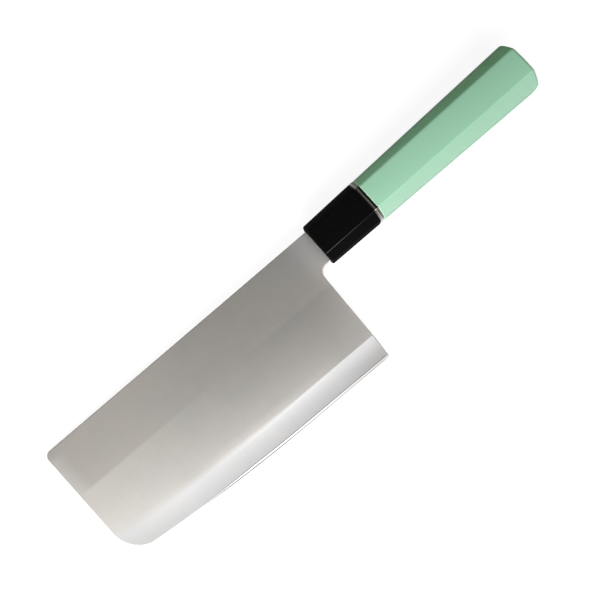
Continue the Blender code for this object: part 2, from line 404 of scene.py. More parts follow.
def fine_width(along):
    """Width of the fine bevel: even from the heel, then narrowing towards the toe."""
    start, end = FINE_BEVEL_FADE
    share = min(1.0, max(0.0, (along - start) / (end - start)))
    return FINE_BEVEL_WIDTH * (1 + (FINE_BEVEL_TOE_SHARE - 1) * share ** 2 * (3 - 2 * share))


def flat_half(along, down):
    """Half the thickness between the flat faces."""
    thinning_down = EDGE_THINNING / (BLADE_HEIGHT - BEVEL_WIDTH)
    if along > 0:
        thinning_along = along * FRONT_THINNING / SPINE_LENGTH
    else:
        thinning_along = -along * TANG_THINNING / TANG_LENGTH
    return (SPINE_THICKNESS - thinning_along - down * thinning_down) / 2


def half_thickness(along, down):
    """Half the blade's thickness anywhere: flat face, softened line, hollow bevel, fine bevel.

    Past the line, the slope starts steeper than the bevel's mean by the hollow, as an angle, and
    ends flatter by as much, as a large grinding wheel leaves it.
    """
    depth = edge_depth(along)
    fine = depth - fine_width(along)
    steepness = (FINE_BEVEL_THICKNESS - EDGE_THICKNESS) / FINE_BEVEL_WIDTH
    if down >= fine:
        return (EDGE_THICKNESS + steepness * max(0.0, depth - down)) / 2
    soft = line_softness(along)
    turn_start = depth - BEVEL_WIDTH - soft
    if down <= turn_start:
        return flat_half(along, down)
    face_slope = -EDGE_THINNING / (BLADE_HEIGHT - BEVEL_WIDTH) / 2
    width = fine - turn_start - 2 * soft
    drop = (EDGE_THICKNESS + steepness * fine_width(along)) / 2 - flat_half(along, turn_start)
    share = min(1.0, max(0.0, along / SPINE_LENGTH))
    hollow = BEVEL_HOLLOW_HEEL + (BEVEL_HOLLOW_TOE - BEVEL_HOLLOW_HEEL) * share
    mean_slope = (drop - soft * (face_slope - hollow)) / (width + soft)
    steep = mean_slope - hollow
    past = down - turn_start
    if past < 2 * soft:
        bend = (steep - face_slope) * past ** 2 / (4 * soft)
        return flat_half(along, turn_start) + face_slope * past + bend
    half = flat_half(along, turn_start) + soft * (face_slope + steep)
    past -= 2 * soft
    return half + steep * past + hollow * past ** 2 / width


def blade_normal(point):
    """Outward normal of the blade's upper side at a point of its side view."""
    slopes = []
    for step in (Vector((NORMAL_REACH, 0)), Vector((0, NORMAL_REACH))):
        ahead = half_thickness(*off_blade(point + step))
        behind = half_thickness(*off_blade(point - step))
        slopes.append((ahead - behind) / (2 * NORMAL_REACH))
    return Vector((-slopes[0], -slopes[1], 1)).normalized()


def mitres(loop):
    """Outward mitre vector at each point of a closed loop that runs anticlockwise.

    The neck's shoulder stays square where it butts against the ferrule.
    """
    out = []
    for i, point in enumerate(loop):
        before = (point - loop[i - 1]).normalized()
        after = (loop[(i + 1) % len(loop)] - point).normalized()
        normal = Vector((before.y + after.y, -before.x - after.x)).normalized()
        if abs(point.x) < 2 * CLEARANCE:
            out.append(Vector((0, 1 if normal.y > 0 else -1)))
        else:
            out.append(normal / max(0.5, normal.dot(Vector((before.y, -before.x)))))
    return out


def easing(point):
    """Radius of the rounded rim at a point of the outline: it shrinks to nothing at the edge."""
    return min(RIM_EASING, RIM_EASING_SHARE * half_thickness(*off_blade(point)))


def grind_rows():
    """Lines along the blade where its cross-section bends, each a list of points."""
    stations = [k * BELLY_STEP for k in range(-1, ceil(SPINE_LENGTH / BELLY_STEP) + 2)]
    rows = []
    for part in (-1, -0.5, 0, 0.5, 1):
        rows.append([(s, edge_depth(s) - BEVEL_WIDTH + part * line_softness(s)) for s in stations])
    for part in (0.25, 0.5, 0.75):
        row = []
        for s in stations:
            top = edge_depth(s) - BEVEL_WIDTH + line_softness(s)
            row.append((s, top + part * (edge_depth(s) - fine_width(s) - top)))
        rows.append(row)
    for side in (-FINE_BEVEL_CREASE, FINE_BEVEL_CREASE):
        rows.append([(s, edge_depth(s) - fine_width(s) + side) for s in stations])
    return [[on_blade(*place) for place in row] for row in rows]


def flat_side(inner):
    """Triangles that fill the blade's side view, split along the grind's lines and at the neck."""
    points = list(inner)
    edges = []
    neck_ends = (SPINE_ABOVE_AXIS + NECK_OVERRUN, -NECK_BELOW_AXIS - NECK_OVERRUN)
    neck = [Vector((-CLEARANCE / 2, y)) for y in neck_ends]
    for row in grind_rows() + [neck]:
        start = len(points)
        points += row
        edges += [(i, i + 1) for i in range(start, len(points) - 1)]
    result = delaunay_2d_cdt(points, edges, [list(range(len(inner)))], 0, MERGE_WITHIN, True)
    kept = [face for face, parents in zip(result[2], result[5]) if parents]
    used = sorted({i for face in kept for i in face})
    place = {old: new for new, old in enumerate(used)}
    return [Vector(result[0][i]) for i in used], [[place[i] for i in face] for face in kept]


def border_of(faces):
    """Indices round the border of a sheet of faces, in the order that the faces run."""
    onward = {}
    for face in faces:
        for i, corner in enumerate(face):
            onward[face[i - 1], corner] = True
    ahead = {a: b for a, b in onward if (b, a) not in onward}
    loop = [min(ahead)]
    while ahead[loop[-1]] != loop[0]:
        loop.append(ahead[loop[-1]])
    return loop


def blade_skin():
    """Points, normals and faces of the whole blade: two sides joined by a rounded rim."""
    outline = blade_outline()
    inner = [p - out * easing(p) for p, out in zip(outline, mitres(outline))]
    flat, sheet = flat_side(inner)
    points = [(*p, half_thickness(*off_blade(p))) for p in flat]
    normals = [blade_normal(p) for p in flat]
    faces = [tuple(face) for face in sheet]
    border = border_of(sheet)
    around = [flat[i] for i in border]
    ring = border
    for k in range(1, RIM_STEPS + 1):
        angle = k * pi / 2 / RIM_STEPS
        before, ring = ring, []
        for i, p, out in zip(border, around, mitres(around)):
            ease = easing(p)
            ring.append(len(points))
            points.append((*(p + out * ease * sin(angle)), points[i][2] - ease * (1 - cos(angle))))
            normals.append(Vector((*(out.normalized() * sin(angle)), cos(angle))))
        faces += [(before[i - 1], ring[i - 1], ring[i], before[i]) for i in range(len(ring))]
    count = len(points)
    points += [(x, y, -z) for x, y, z in points]
    normals += [Vector((n.x, n.y, -n.z)) for n in normals]
    faces += [tuple(i + count for i in reversed(face)) for face in faces]
    faces += [(ring[i - 1], ring[i - 1] + count, ring[i] + count, ring[i]) for i in range(len(ring))]
    return points, normals, faces


def add_piece(name, points, faces):
    """A mesh object from points in the handle's frame."""
    mesh = bpy.data.meshes.new(name)
    mesh.from_pydata([Vector(p) + axis for p in points], [], faces)
    mesh.shade_smooth()
    made = bpy.data.objects.new(name, mesh)
    bpy.context.scene.collection.objects.link(made)
    return made


points, normals, faces = blade_skin()
blade = add_piece("satin_blade", points, faces)
blade.data.normals_split_custom_set_from_vertices(normals)
masks = {"from_spine": [], "from_front": [], "from_edge": [], "past_fine": [], "on_bevel": []}
for point in points:
    along, down = off_blade(Vector(point[:2]))
    depth = edge_depth(along)
    soft = line_softness(along)
    masks["from_spine"].append(down)
    masks["from_front"].append(front_at(down) - along)
    masks["from_edge"].append(depth - down)
    masks["past_fine"].append(depth - down - fine_width(along))
    masks["on_bevel"].append(min(1.0, max(0.0, (down - depth + BEVEL_WIDTH + soft) / (2 * soft))))
for name, values in masks.items():
    blade.data.attributes.new(name, "FLOAT", "POINT").data.foreach_set("value", values)


FINE_WIDEN = 1.0
FINE_DETAIL = 3.0
BROAD_WIDEN = 9.0
BROAD_DETAIL = 2.0


def lines_group():
    """Fine parallel lines left by a belt or by polishing, as a fine and a broad tone."""
    tree, given, put = new_group("polishing_lines", {"Vector": "Vector", "Spacing": "Vector"},
                                 {"Fine": "Float", "Broad": "Float"})
    for name, widen, detail in (("Fine", FINE_WIDEN, FINE_DETAIL), ("Broad", BROAD_WIDEN, BROAD_DETAIL)):
        stretch = add_node(tree, "VectorMath", operation="DIVIDE")
        tree.links.new(given.outputs["Vector"], stretch.inputs[0])
        tree.links.new(given.outputs["Spacing"], stretch.inputs[1])
        scaled = add_node(tree, "VectorMath", operation="SCALE")
        tree.links.new(stretch.outputs[0], scaled.inputs[0])
        join(tree, 1 / widen, scaled.inputs["Scale"])
        tree.links.new(cloud_tone(tree, scaled.outputs[0], 1.0, detail), put.inputs[name])
    return tree


def new_material(name):
    """Material with a Principled shader; returns also its tree, that shader and the coordinates."""
    made = bpy.data.materials.new(name)
    made.use_nodes = True
    tree = made.node_tree
    return made, tree, tree.nodes["Principled BSDF"], add_node(tree, "TexCoord").outputs["Object"]


def read_mask(tree, name):
    """A value that the mesh holds by name at each point."""
    return add_node(tree, "Attribute", attribute_name=name).outputs["Fac"]


def product(tree, first, second):
    """One mask or number times another."""
    return math_node(tree, "MULTIPLY", first, second)


def tint_colour(tree, colour, tint):
    """Colour times a tint; returns the result's socket."""
    made = add_node(tree, "VectorMath", operation="MULTIPLY")
    tree.links.new(colour, made.inputs[0])
    tree.links.new(tint, made.inputs[1])
    return made.outputs[0]


# The steel's tones, most of them painted reflections: bands of lighter and darker colour that stand
# in for the light and shade that surroundings would show in the steel. Each pair of lengths is a start
# and an end, in from the spine, the front or the edge, and each pair of other numbers is the value at
# that start and at that end.

SPINE_BAND = 0.0285
SPINE_BAND_SOFT = 0.0011
SPINE_SIDE = (0.004, 0.030)
SPINE_SIDE_LENGTH = (0.02, 0.17)
SPINE_SIDE_SHADE = (-0.06, 0.12)
FRONT_BAND = 0.014
FRONT_BAND_SHARE = 0.8
FRONT_BAND_UPPER = 0.011
FRONT_BAND_UPPER_SHARE = 0.9
FRONT_BAND_UPPER_TOP = (0.002, 0.008)
NECK_BAND = 0.030
UPPER_HEEL = (0.984, 0.970, 0.942)
UPPER_TOE = (0.794, 0.763, 0.733)
LOWER_HEEL = (0.840, 0.832, 0.807)
LOWER_TOE = (0.968, 0.960, 0.932)
FACE_NECK = (1.0, 0.985, 0.958)
FACE_FRONT = (0.980, 0.975, 0.950)
BEVEL_HEEL = (0.614, 0.630, 0.642)
BEVEL_TOE = (0.756, 0.776, 0.790)
BEVEL_FRONT = (0.731, 0.750, 0.764)
BEVEL_FRONT_BAND = (0.005, 0.045)
BEVEL_EVEN_FROM = 0.090
SHOULDER = 0.006
SHOULDER_SHADE = 0.14
SHOULDER_HEEL_FADE = (0.155, 0.105)
SHOULDER_FRONT_FADE = (0.045, 0.085)
UNDER_LINE = (0.0065, 0.0125)
UNDER_LINE_LENGTH = (0.07, 0.12)
UNDER_LINE_SHADE = 0.06
HOLLOW = (0.002, 0.013)
HOLLOW_SHADE = (0.06, 0.156)
HEEL_DIM = (0.034, 0.016)
HEEL_DIM_LENGTH = (0.120, 0.165)
HEEL_DIM_SHADE = 0.075
EDGE_DIM = (0.0095, 0.0040)
EDGE_DIM_LENGTH = (0.135, 0.160)
EDGE_DIM_SHADE = 0.085
LINE_SHARPNESS = 0.7
# Painted lines along the edge: shade above the fine bevel, a highlight on it, shade at the very edge.
DARK_LINE_WIDTH = 0.00042
DARK_LINE_COLOUR = (0.36, 0.36, 0.35)
EDGE_BAND = 0.00048
NEAR_HEEL = (0.110, 0.160)
ON_BELLY = (0.115, 0.088)
HEEL_CORNER = (0.1635, 0.1595)
EDGE_LINE_FADE = (0.0362, 0.0642)
FINE_BEVEL_HEEL = (0.61, 0.61, 0.61)
FINE_BEVEL_COLOUR = (0.75, 0.75, 0.75)
FINE_BEVEL_BELLY = (0.96, 0.96, 0.96)
EDGE_HEEL = (0.50, 0.50, 0.50)
EDGE_COLOUR = (0.51, 0.51, 0.51)
EDGE_BELLY = (0.05, 0.05, 0.05)
BELT_SPACING = (0.00016, 0.030, 0.030)
FINE_SHARE = 0.4
STREAK_SPAN = (0.3, 0.7)
STREAK_SHADE = (0.970, 1.005)
NOISE_SPAN = (0.3, 0.7)
STEEL_CLOUD = (75.0, 5.0)
MOTTLE_DARK = (0.968, 0.972, 0.975)
MOTTLE_PALE = (1.0, 0.995, 0.985)
SPECK_SCALE = 620.0
SPECK_SPAN = (0.60, 0.74)
SPECK_SHADE = 0.035
# A darker line along the spine, broken up by specks.
SPINE_LINE = (0.0012, 0.0003)
SPINE_DARK_SPECKS = (0.35, 0.55)
SPINE_DARK_AMOUNT = (0.04, 0.20)
STEEL_ROUGH_SPAN = (0.25, 0.75)
STEEL_ROUGHNESS = (0.39, 0.415)
HAND_FINISH = (0.160, 0.177)
ROUGHER_NECK = 0.045
ROUGHER_HAND_FINISH = 0.11
ROUGHER_BEVEL = -0.022
ROUGHER_FINE_BEVEL = -0.06
ROUGHER_EDGE = 0.25
STEEL_ANISOTROPY = 0.433
STEEL_BUMP = 0.0000006

polishing_lines = lines_group()
steel, tree, shader, place = new_material("satin_steel")
lines = group_node(tree, polishing_lines, Vector=place, Spacing=BELT_SPACING)
fine, broad = lines.outputs["Fine"], lines.outputs["Broad"]
streak = math_node(tree, "ADD", product(tree, fine, FINE_SHARE), product(tree, broad, 1 - FINE_SHARE))
spine_in = read_mask(tree, "from_spine")
front_in = read_mask(tree, "from_front")
edge_in = read_mask(tree, "from_edge")
fine_in = read_mask(tree, "past_fine")
bevel_in = read_mask(tree, "on_bevel")

# Painted reflections: face above and below its middle line, and bevel, each with its own tone at heel,
# toe and front. A painted highlight runs along the front, and the neck is painted lighter.
upper = ramp_node(tree, spine_in, SPINE_BAND - SPINE_BAND_SOFT, SPINE_BAND + SPINE_BAND_SOFT, 1.0, 0.0)
towards_toe = ramp_node(tree, front_in, 0.0, SPINE_LENGTH, 1.0, 0.0, smooth=False)
above = blend_colours(tree, towards_toe, UPPER_HEEL, UPPER_TOE)
below = blend_colours(tree, towards_toe, LOWER_HEEL, LOWER_TOE)
front_above = product(tree, ramp_node(tree, front_in, 0.0, FRONT_BAND_UPPER, FRONT_BAND_UPPER_SHARE, 0.0),
                      ramp_node(tree, spine_in, *FRONT_BAND_UPPER_TOP))
front_below = ramp_node(tree, front_in, 0.0, FRONT_BAND, FRONT_BAND_SHARE, 0.0)
above = blend_colours(tree, front_above, above, FACE_FRONT)
below = blend_colours(tree, front_below, below, FACE_FRONT)
face = blend_colours(tree, upper, below, above)
neck = ramp_node(tree, front_in, SPINE_LENGTH - NECK_BAND, SPINE_LENGTH + NECK_BAND / 2)
face = blend_colours(tree, neck, face, FACE_NECK)
bevel_tone = ramp_node(tree, front_in, BEVEL_EVEN_FROM, SPINE_LENGTH, smooth=False)
bevel = blend_colours(tree, bevel_tone, BEVEL_TOE, BEVEL_HEEL)
bevel = blend_colours(tree, ramp_node(tree, front_in, *BEVEL_FRONT_BAND, 1.0, 0.0), bevel, BEVEL_FRONT)
colour = blend_colours(tree, bevel_in, face, bevel)

# Three lines that die out towards the toe: painted shade just above the fine bevel, the fine bevel
# itself, polished and lighter by a painted highlight, and painted shade at the very edge.
clear_of_toe = ramp_node(tree, front_in, *EDGE_LINE_FADE)
near_heel = ramp_node(tree, front_in, *NEAR_HEEL)
on_belly = ramp_node(tree, front_in, *ON_BELLY)
fine_tone = blend_colours(tree, near_heel, FINE_BEVEL_COLOUR, FINE_BEVEL_HEEL)
fine_tone = blend_colours(tree, on_belly, fine_tone, FINE_BEVEL_BELLY)
edge_tone = blend_colours(tree, near_heel, EDGE_COLOUR, EDGE_HEEL)
edge_tone = blend_colours(tree, on_belly, edge_tone, EDGE_BELLY)
dark_line = product(tree, ramp_node(tree, fine_in, DARK_LINE_WIDTH, DARK_LINE_WIDTH * LINE_SHARPNESS), clear_of_toe)
polished = ramp_node(tree, fine_in, FINE_BEVEL_CREASE, -FINE_BEVEL_CREASE)
edge = ramp_node(tree, edge_in, EDGE_BAND, EDGE_BAND * LINE_SHARPNESS)
edge = product(tree, product(tree, edge, clear_of_toe), ramp_node(tree, front_in, *HEEL_CORNER))
colour = blend_colours(tree, dark_line, colour, DARK_LINE_COLOUR)
colour = blend_colours(tree, polished, colour, fine_tone)
colour = blend_colours(tree, edge, colour, edge_tone)

# Painted light and shade in stretches: along the spine, on both sides of the bevel's line, across the
# bevel, and darker near the heel and near the edge. Also fine lighter specks, and a darker line along
# the spine, broken up by specks.
spine_shade = product(tree, ramp_node(tree, front_in, *SPINE_SIDE_LENGTH, *SPINE_SIDE_SHADE, smooth=False),
                      ramp_node(tree, spine_in, *SPINE_SIDE, 1.0, 0.0))
shoulder = product(tree, ramp_node(tree, edge_in, BEVEL_WIDTH + SHOULDER, BEVEL_WIDTH),
                   ramp_node(tree, edge_in, BEVEL_WIDTH - SHOULDER / 2, BEVEL_WIDTH))
shoulder = product(tree, shoulder, ramp_node(tree, front_in, *SHOULDER_HEEL_FADE, 0.0, SHOULDER_SHADE))
shoulder = product(tree, shoulder, ramp_node(tree, front_in, *SHOULDER_FRONT_FADE))
under_line = product(tree, ramp_node(tree, edge_in, *UNDER_LINE),
                     ramp_node(tree, front_in, *UNDER_LINE_LENGTH, 0.0, UNDER_LINE_SHADE))
hollow = product(tree, ramp_node(tree, edge_in, *HOLLOW, -0.5, 0.5, smooth=False),
                 ramp_node(tree, front_in, 0.0, SPINE_LENGTH, *HOLLOW_SHADE, smooth=False))
across_bevel = product(tree, bevel_in, math_node(tree, "ADD", under_line, hollow))
edge_dim = product(tree, ramp_node(tree, edge_in, *EDGE_DIM),
                   ramp_node(tree, front_in, *EDGE_DIM_LENGTH, 0.0, EDGE_DIM_SHADE))
edge_dim = product(tree, edge_dim, bevel_in)
heel_dim = product(tree, ramp_node(tree, edge_in, *HEEL_DIM),
                   ramp_node(tree, front_in, *HEEL_DIM_LENGTH, 0.0, HEEL_DIM_SHADE))
heel_dim = product(tree, heel_dim, math_node(tree, "SUBTRACT", 1.0, bevel_in))
speck = cloud_tone(tree, place, SPECK_SCALE)
specks = ramp_node(tree, speck, *SPECK_SPAN, 0.0, SPECK_SHADE)
# A darker line along the spine, broken up by specks.
spine_darkening = product(tree, ramp_node(tree, spine_in, *SPINE_LINE), ramp_node(tree, speck, *SPINE_DARK_SPECKS, *SPINE_DARK_AMOUNT))
shade = ramp_node(tree, streak, *STREAK_SPAN, *STREAK_SHADE, smooth=False)
for lighter in (spine_shade, specks, shoulder, across_bevel):
    shade = math_node(tree, "ADD", shade, lighter)
for darker in (edge_dim, heel_dim, spine_darkening):
    shade = math_node(tree, "SUBTRACT", shade, darker)

# Mottling, roughness, and the lines of the belt, which run from spine to edge.
mottle = ramp_node(tree, cloud_tone(tree, place, *STEEL_CLOUD), *NOISE_SPAN)
toned = add_node(tree, "VectorMath", operation="SCALE")
join(tree, tint_colour(tree, colour, blend_colours(tree, mottle, MOTTLE_DARK, MOTTLE_PALE)), toned.inputs[0])
join(tree, shade, toned.inputs["Scale"])
join(tree, toned.outputs[0], shader.inputs["Base Color"])
rough = ramp_node(tree, streak, *STEEL_ROUGH_SPAN, *STEEL_ROUGHNESS, smooth=False)
hand_finish = ramp_node(tree, front_in, *HAND_FINISH)
for mask, change in ((neck, ROUGHER_NECK), (hand_finish, ROUGHER_HAND_FINISH), (bevel_in, ROUGHER_BEVEL),
                     (polished, ROUGHER_FINE_BEVEL), (edge, ROUGHER_EDGE)):
    rough = math_node(tree, "ADD", rough, product(tree, mask, change))
join(tree, rough, shader.inputs["Roughness"])
join(tree, 1.0, shader.inputs["Metallic"])
join(tree, STEEL_ANISOTROPY, shader.inputs["Anisotropic"])
across = add_node(tree, "CombineXYZ")
join(tree, 1.0, across.inputs["X"])
join(tree, across.outputs[0], shader.inputs["Tangent"])
bump = add_node(tree, "Bump")
join(tree, STEEL_BUMP, bump.inputs["Distance"])
join(tree, fine, bump.inputs["Height"])
join(tree, bump.outputs[0], shader.inputs["Normal"])
blade.data.materials.append(steel)
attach(blade, "root")
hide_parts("blade")


# Ferrule: a polished collar of black composite at the front of the handle. The tang goes in through
# its mouth and the dowel through the bore behind. Its front rim is rounded by hand, its back is glued.

HANDLE_LENGTH = 0.1334
FRONT_HEIGHT = 0.0233
FRONT_THICKNESS = 0.0200
FRONT_CORNER_CUT = 0.0047
BUTT_HEIGHT = 0.0280
BUTT_THICKNESS = 0.0240
BUTT_CORNER_CUT = 0.0065
FERRULE_RIDGE = 0.0013
FERRULE_CROWN = 0.00011
FERRULE_LENGTH = 0.0313
FERRULE_RIM = 0.0011
JOINT_RIM = 0.00035
HIDDEN_RIM = 0.00004
DOWEL_BORE = 0.00665
DOWEL_START = 0.0060
MOUTH_HEIGHT = 0.0108
MOUTH_THICKNESS = 0.0048
RIDGE_STEPS = 6
FACET_STEPS = 6
RIM_ARC_STEPS = 5
SHARP_FROM = radians(35)
EDGE_SPECK_SCALE = 1500.0
EDGE_SPECK_DETAIL = 3.0
EDGE_SPECK_SOFT = 0.35
FERRULE_CLOUD = (220.0, 6.0)
FERRULE_WEAR_AND_HIGHLIGHT = (0.45, 0.25)
BLACK_DEEP = (0.0028, 0.0028, 0.0030)
BLACK_PALE = (0.0046, 0.0045, 0.0044)
# A painted highlight on the ridges on the edge's side, lightest at the front, and a faint grey tone on every
# ridge, as ridges get with use.
RIDGE_HIGHLIGHT_FROM = (0.1, -0.2)
RIDGE_HIGHLIGHT_UNTIL = (-0.8, -0.6)
RIDGE_HIGHLIGHT_TONE = (0.05, 0.006)
RIDGE_TONE = 0.006
FERRULE_ROUGHNESS = (0.16, 0.22)
ROUGHER_RIDGE = 0.10
ROUGHER_GRAZING = 0.75
GRAZING = (0.6, 0.88)
FERRULE_SPECULAR = 0.012
TO_SPINE = (0.0, 1.0, 0.0)


def octagon(x, inset, ridge=FERRULE_RIDGE, crown=FERRULE_CROWN):
    """Section of the tapering handle, drawn in by inset: soft ridges between crowned facets."""
    share = x / HANDLE_LENGTH
    height = FRONT_HEIGHT + (BUTT_HEIGHT - FRONT_HEIGHT) * share
    thickness = FRONT_THICKNESS + (BUTT_THICKNESS - FRONT_THICKNESS) * share
    corner_cut = FRONT_CORNER_CUT + (BUTT_CORNER_CUT - FRONT_CORNER_CUT) * share
    inset += crown
    top = height / 2 - inset
    side = thickness / 2 - inset
    corner_cut -= inset * (2 - sqrt(2))
    quarter = [(top, side - corner_cut), (top - corner_cut, side)]
    half = quarter + [(-y, z) for y, z in reversed(quarter)]
    corners = half + [(y, -z) for y, z in reversed(half)]
    arcs = rounded([(Vector(corner), ridge) for corner in corners], pi / 4 / RIDGE_STEPS)
    outline = []
    for i, point in enumerate(arcs):
        outline.append(point)
        if i % (RIDGE_STEPS + 1) == RIDGE_STEPS:
            ahead = arcs[(i + 1) % len(arcs)]
            out = Vector((point.y - ahead.y, ahead.x - point.x)).normalized()
            if out.dot(point) < 0:
                out = -out
            for k in range(1, FACET_STEPS):
                part = k / FACET_STEPS
                outline.append(point.lerp(ahead, part) + out * crown * 4 * part * (1 - part))
    return [Vector((x, *point)) for point in outline]


def rim_loops(face, rim, inward, **form):
    """Quarter-round rim at one end of a handle piece, from the end face to the facets."""
    loops = []
    for k in range(RIM_ARC_STEPS + 1):
        angle = k * pi / 2 / RIM_ARC_STEPS
        loops.append(octagon(face + inward * rim * (1 - cos(angle)), rim * (1 - sin(angle)), **form))
    return loops


def bore_loop(x, radius):
    """As many points as the octagon has, on a circle and in the same directions."""
    ring = []
    for point in octagon(x, 0):
        flat = Vector((0, point.y, point.z)).normalized() * radius
        ring.append(Vector((x, flat.y, flat.z)))
    return ring


def slot_loop(x, height, thickness):
    """The same directions on a rectangle, with a point on each corner."""
    ring = []
    for point in octagon(x, 0):
        reach = max(abs(point.y) / (height / 2), abs(point.z) / (thickness / 2))
        ring.append(Vector((x, point.y / reach, point.z / reach)))
    for y in (-height / 2, height / 2):
        for z in (-thickness / 2, thickness / 2):
            corner = Vector((x, y, z))
            near = min(range(len(ring)), key=lambda i: (ring[i] - corner).length)
            ring[near] = corner
    return ring


def loops_to_faces(loops, closed):
    """Points and faces of a skin over equal loops; a closed one joins its last loop to its first."""
    size = len(loops[0])
    points = [p for loop in loops for p in loop]
    faces = []
    for row in range(len(loops) if closed else len(loops) - 1):
        near, far = row * size, (row + 1) % len(loops) * size
        faces += [(near + i - 1 if i else near + size - 1, near + i, far + i,
                   far + i - 1 if i else far + size - 1) for i in range(size)]
    if not closed:
        faces.append(tuple(reversed(range(size))))
        faces.append(tuple(range(len(points) - size, len(points))))
    return points, faces


def add_handle_piece(name, loops, closed, marked_loops=()):
    """Handle piece, shaded smooth over its ridges, with masks of its ridges and of a painted-highlight rim.
    """
    made = add_piece(name, *loops_to_faces(loops, closed))
    around = len(loops[0])
    on_ridge = []
    for i in range(len(made.data.vertices)):
        step = i % around % (RIDGE_STEPS + FACET_STEPS)
        on_ridge.append(max(0.0, 1 - abs(2 * step / RIDGE_STEPS - 1)))
    on_rim = [1.0 if i // around in marked_loops else 0.0 for i in range(len(on_ridge))]
    for mask, values in (("on_ridge", on_ridge), ("on_rim", on_rim)):
        made.data.attributes.new(mask, "FLOAT", "POINT").data.foreach_set("value", values)
    bm = bmesh.new()
    bm.from_mesh(made.data)
    bmesh.ops.recalc_face_normals(bm, faces=bm.faces)
    bm.to_mesh(made.data)
    bm.free()
    made.data.shade_smooth()
    made.data.set_sharp_from_angle(angle=SHARP_FROM)
    even = made.modifiers.new("even_normals", "WEIGHTED_NORMAL")
    even.weight = 100
    even.keep_sharp = True
    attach(made, "root")
    return made


def speckled_edges_group():
    """Mark along an edge: the edge's mask, narrowed and broken up by specks."""
    inputs = {"Vector": "Vector", "Edge": "Float", "Start": "Float", "Specks": "Float"}
    tree, given, put = new_group("speckled_edges", inputs, {"Mark": "Float"})
    noise = cloud_tone(tree, given.outputs["Vector"], EDGE_SPECK_SCALE, EDGE_SPECK_DETAIL)
    uneven = product(tree, math_node(tree, "SUBTRACT", noise, 0.5), given.outputs["Specks"])
    level = math_node(tree, "ADD", given.outputs["Edge"], uneven)
    past = math_node(tree, "SUBTRACT", level, given.outputs["Start"])
    tree.links.new(ramp_node(tree, past, 0.0, EDGE_SPECK_SOFT), put.inputs["Mark"])
    return tree


def side_group():
    """Mask of the sides that face a direction: how far their normal has turned that way."""
    inputs = {"Normal": "Vector", "Direction": "Vector", "From": "Float", "To": "Float"}
    tree, given, put = new_group("facing_side", inputs, {"Mask": "Float"})
    towards = add_node(tree, "VectorMath", operation="DOT_PRODUCT")
    tree.links.new(given.outputs["Normal"], towards.inputs[0])
    tree.links.new(given.outputs["Direction"], towards.inputs[1])
    turned = ramp_node(tree, towards.outputs["Value"], given.outputs["From"], given.outputs["To"])
    tree.links.new(turned, put.inputs["Mask"])
    return tree


def facing_side(tree, direction, span):
    """Mask of the sides that face a direction, in a material with the piece's own normals."""
    normal = add_node(tree, "TexCoord").outputs["Normal"]
    made = group_node(tree, side_masks, Normal=normal, Direction=direction, From=span[0], To=span[1])
    return made.outputs["Mask"]


def at_least(tree, mask, least):
    """A mask that runs from least to 1 instead of from 0."""
    return ramp_node(tree, mask, 0.0, 1.0, least, 1.0, smooth=False)


def along_handle(tree, place):
    """Place along the handle's axis, in the model's frame."""
    parts = add_node(tree, "SeparateXYZ")
    tree.links.new(place, parts.inputs[0])
    return parts.outputs["X"]


def speckled_edge_mask(tree, place, edge, edge_marking):
    """Mark along the edge that a named mask marks, broken up by specks."""
    start, specks = edge_marking
    made = group_node(tree, speckled_edges, Vector=place, Edge=read_mask(tree, edge), Start=start, Specks=specks)
    return made.outputs["Mark"]


def rougher_at_grazing(tree, rough, change):
    """Roughness that grows where the surface is seen at a low angle."""
    grazing = add_node(tree, "LayerWeight").outputs["Facing"]
    return math_node(tree, "ADD", rough, ramp_node(tree, grazing, *GRAZING, 0.0, change))


speckled_edges = speckled_edges_group()
side_masks = side_group()
loops = rim_loops(0.0, FERRULE_RIM, 1)
loops += reversed(rim_loops(FERRULE_LENGTH, HIDDEN_RIM, -1))
loops += [bore_loop(FERRULE_LENGTH, DOWEL_BORE), bore_loop(DOWEL_START - CLEARANCE, DOWEL_BORE)]
loops += [slot_loop(x, MOUTH_HEIGHT, MOUTH_THICKNESS) for x in (DOWEL_START - CLEARANCE, 0.0)]
ferrule = add_handle_piece("black_ferrule", loops, True)
black, tree, shader, place = new_material("black_ferrule")
cloud = cloud_tone(tree, place, *FERRULE_CLOUD)
# Along the ridges, broken up by specks: a faint grey tone, as ridges get with use, and on the ridges on the
# edge's side a painted highlight, lightest at the front and fading towards the back.
edge_marking = speckled_edge_mask(tree, place, "on_ridge", FERRULE_WEAR_AND_HIGHLIGHT)
lower_ridge_highlight = product(tree, facing_side(tree, TO_SPINE, RIDGE_HIGHLIGHT_FROM), facing_side(tree, TO_SPINE, RIDGE_HIGHLIGHT_UNTIL))
lower_ridge_highlight = product(tree, lower_ridge_highlight, ramp_node(tree, along_handle(tree, place), axis.x, axis.x + FERRULE_LENGTH,
                                         *RIDGE_HIGHLIGHT_TONE))
colour = blend_colours(tree, cloud, BLACK_DEEP, BLACK_PALE)
colour = blend_colours(tree, edge_marking, colour, math_node(tree, "ADD", lower_ridge_highlight, RIDGE_TONE))
join(tree, colour, shader.inputs["Base Color"])
rough = ramp_node(tree, cloud, *NOISE_SPAN, *FERRULE_ROUGHNESS)
rough = math_node(tree, "ADD", rough, product(tree, edge_marking, ROUGHER_RIDGE))
join(tree, rougher_at_grazing(tree, rough, ROUGHER_GRAZING), shader.inputs["Roughness"])
join(tree, FERRULE_SPECULAR, shader.inputs["Specular IOR Level"])
ferrule.data.materials.append(black)
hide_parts("ferrule")


# Spacer: a thin plate of polished nickel silver, bored for the dowel and glued between ferrule and
# handle. The polishing wheel rounded its edges over. The mesh is 2.6 mm wide, because it also covers
# the two glue lines.

SPACER_THICKNESS = 0.0026
SPACER_CROWN = 0.00018
SPACER_STEPS = 8
